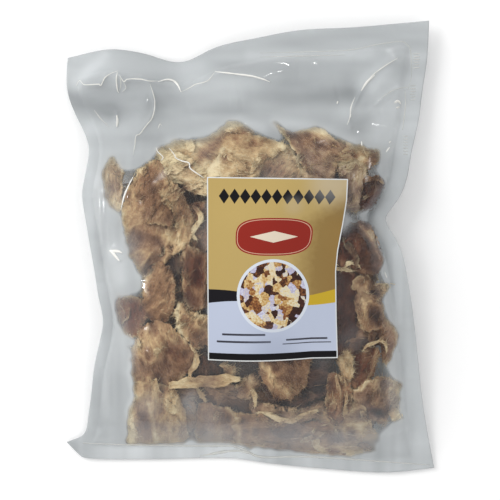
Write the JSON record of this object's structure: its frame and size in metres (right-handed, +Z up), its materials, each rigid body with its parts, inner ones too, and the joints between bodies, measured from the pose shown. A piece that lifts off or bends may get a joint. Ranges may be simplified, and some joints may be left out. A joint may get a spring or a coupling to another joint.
{
  "type": "sealed clear bag of stockfish bits",
  "caption": "Heat-sealed clear film pouch filled with uneven dried stockfish bits, lying on its back with a paper label on its front.",
  "frame": {"origin": "under the middle of the pouch, on the surface that it lies on", "axes": "+Z up out of the labelled front, +Y towards the top seal, +X to the right as the label is read"},
  "size_m": [0.2038, 0.25, 0.0463],
  "materials": {
    "film": "clear slightly milky polyethylene film drawn over dried fish",
    "label": "coated paper sticker, satin",
    "fish": "air-dried cod flesh and skin, dull and fibrous"
  },
  "bodies": {
    "root": {"bag": "film", "label": "label"}
  },
  "joints": []
}
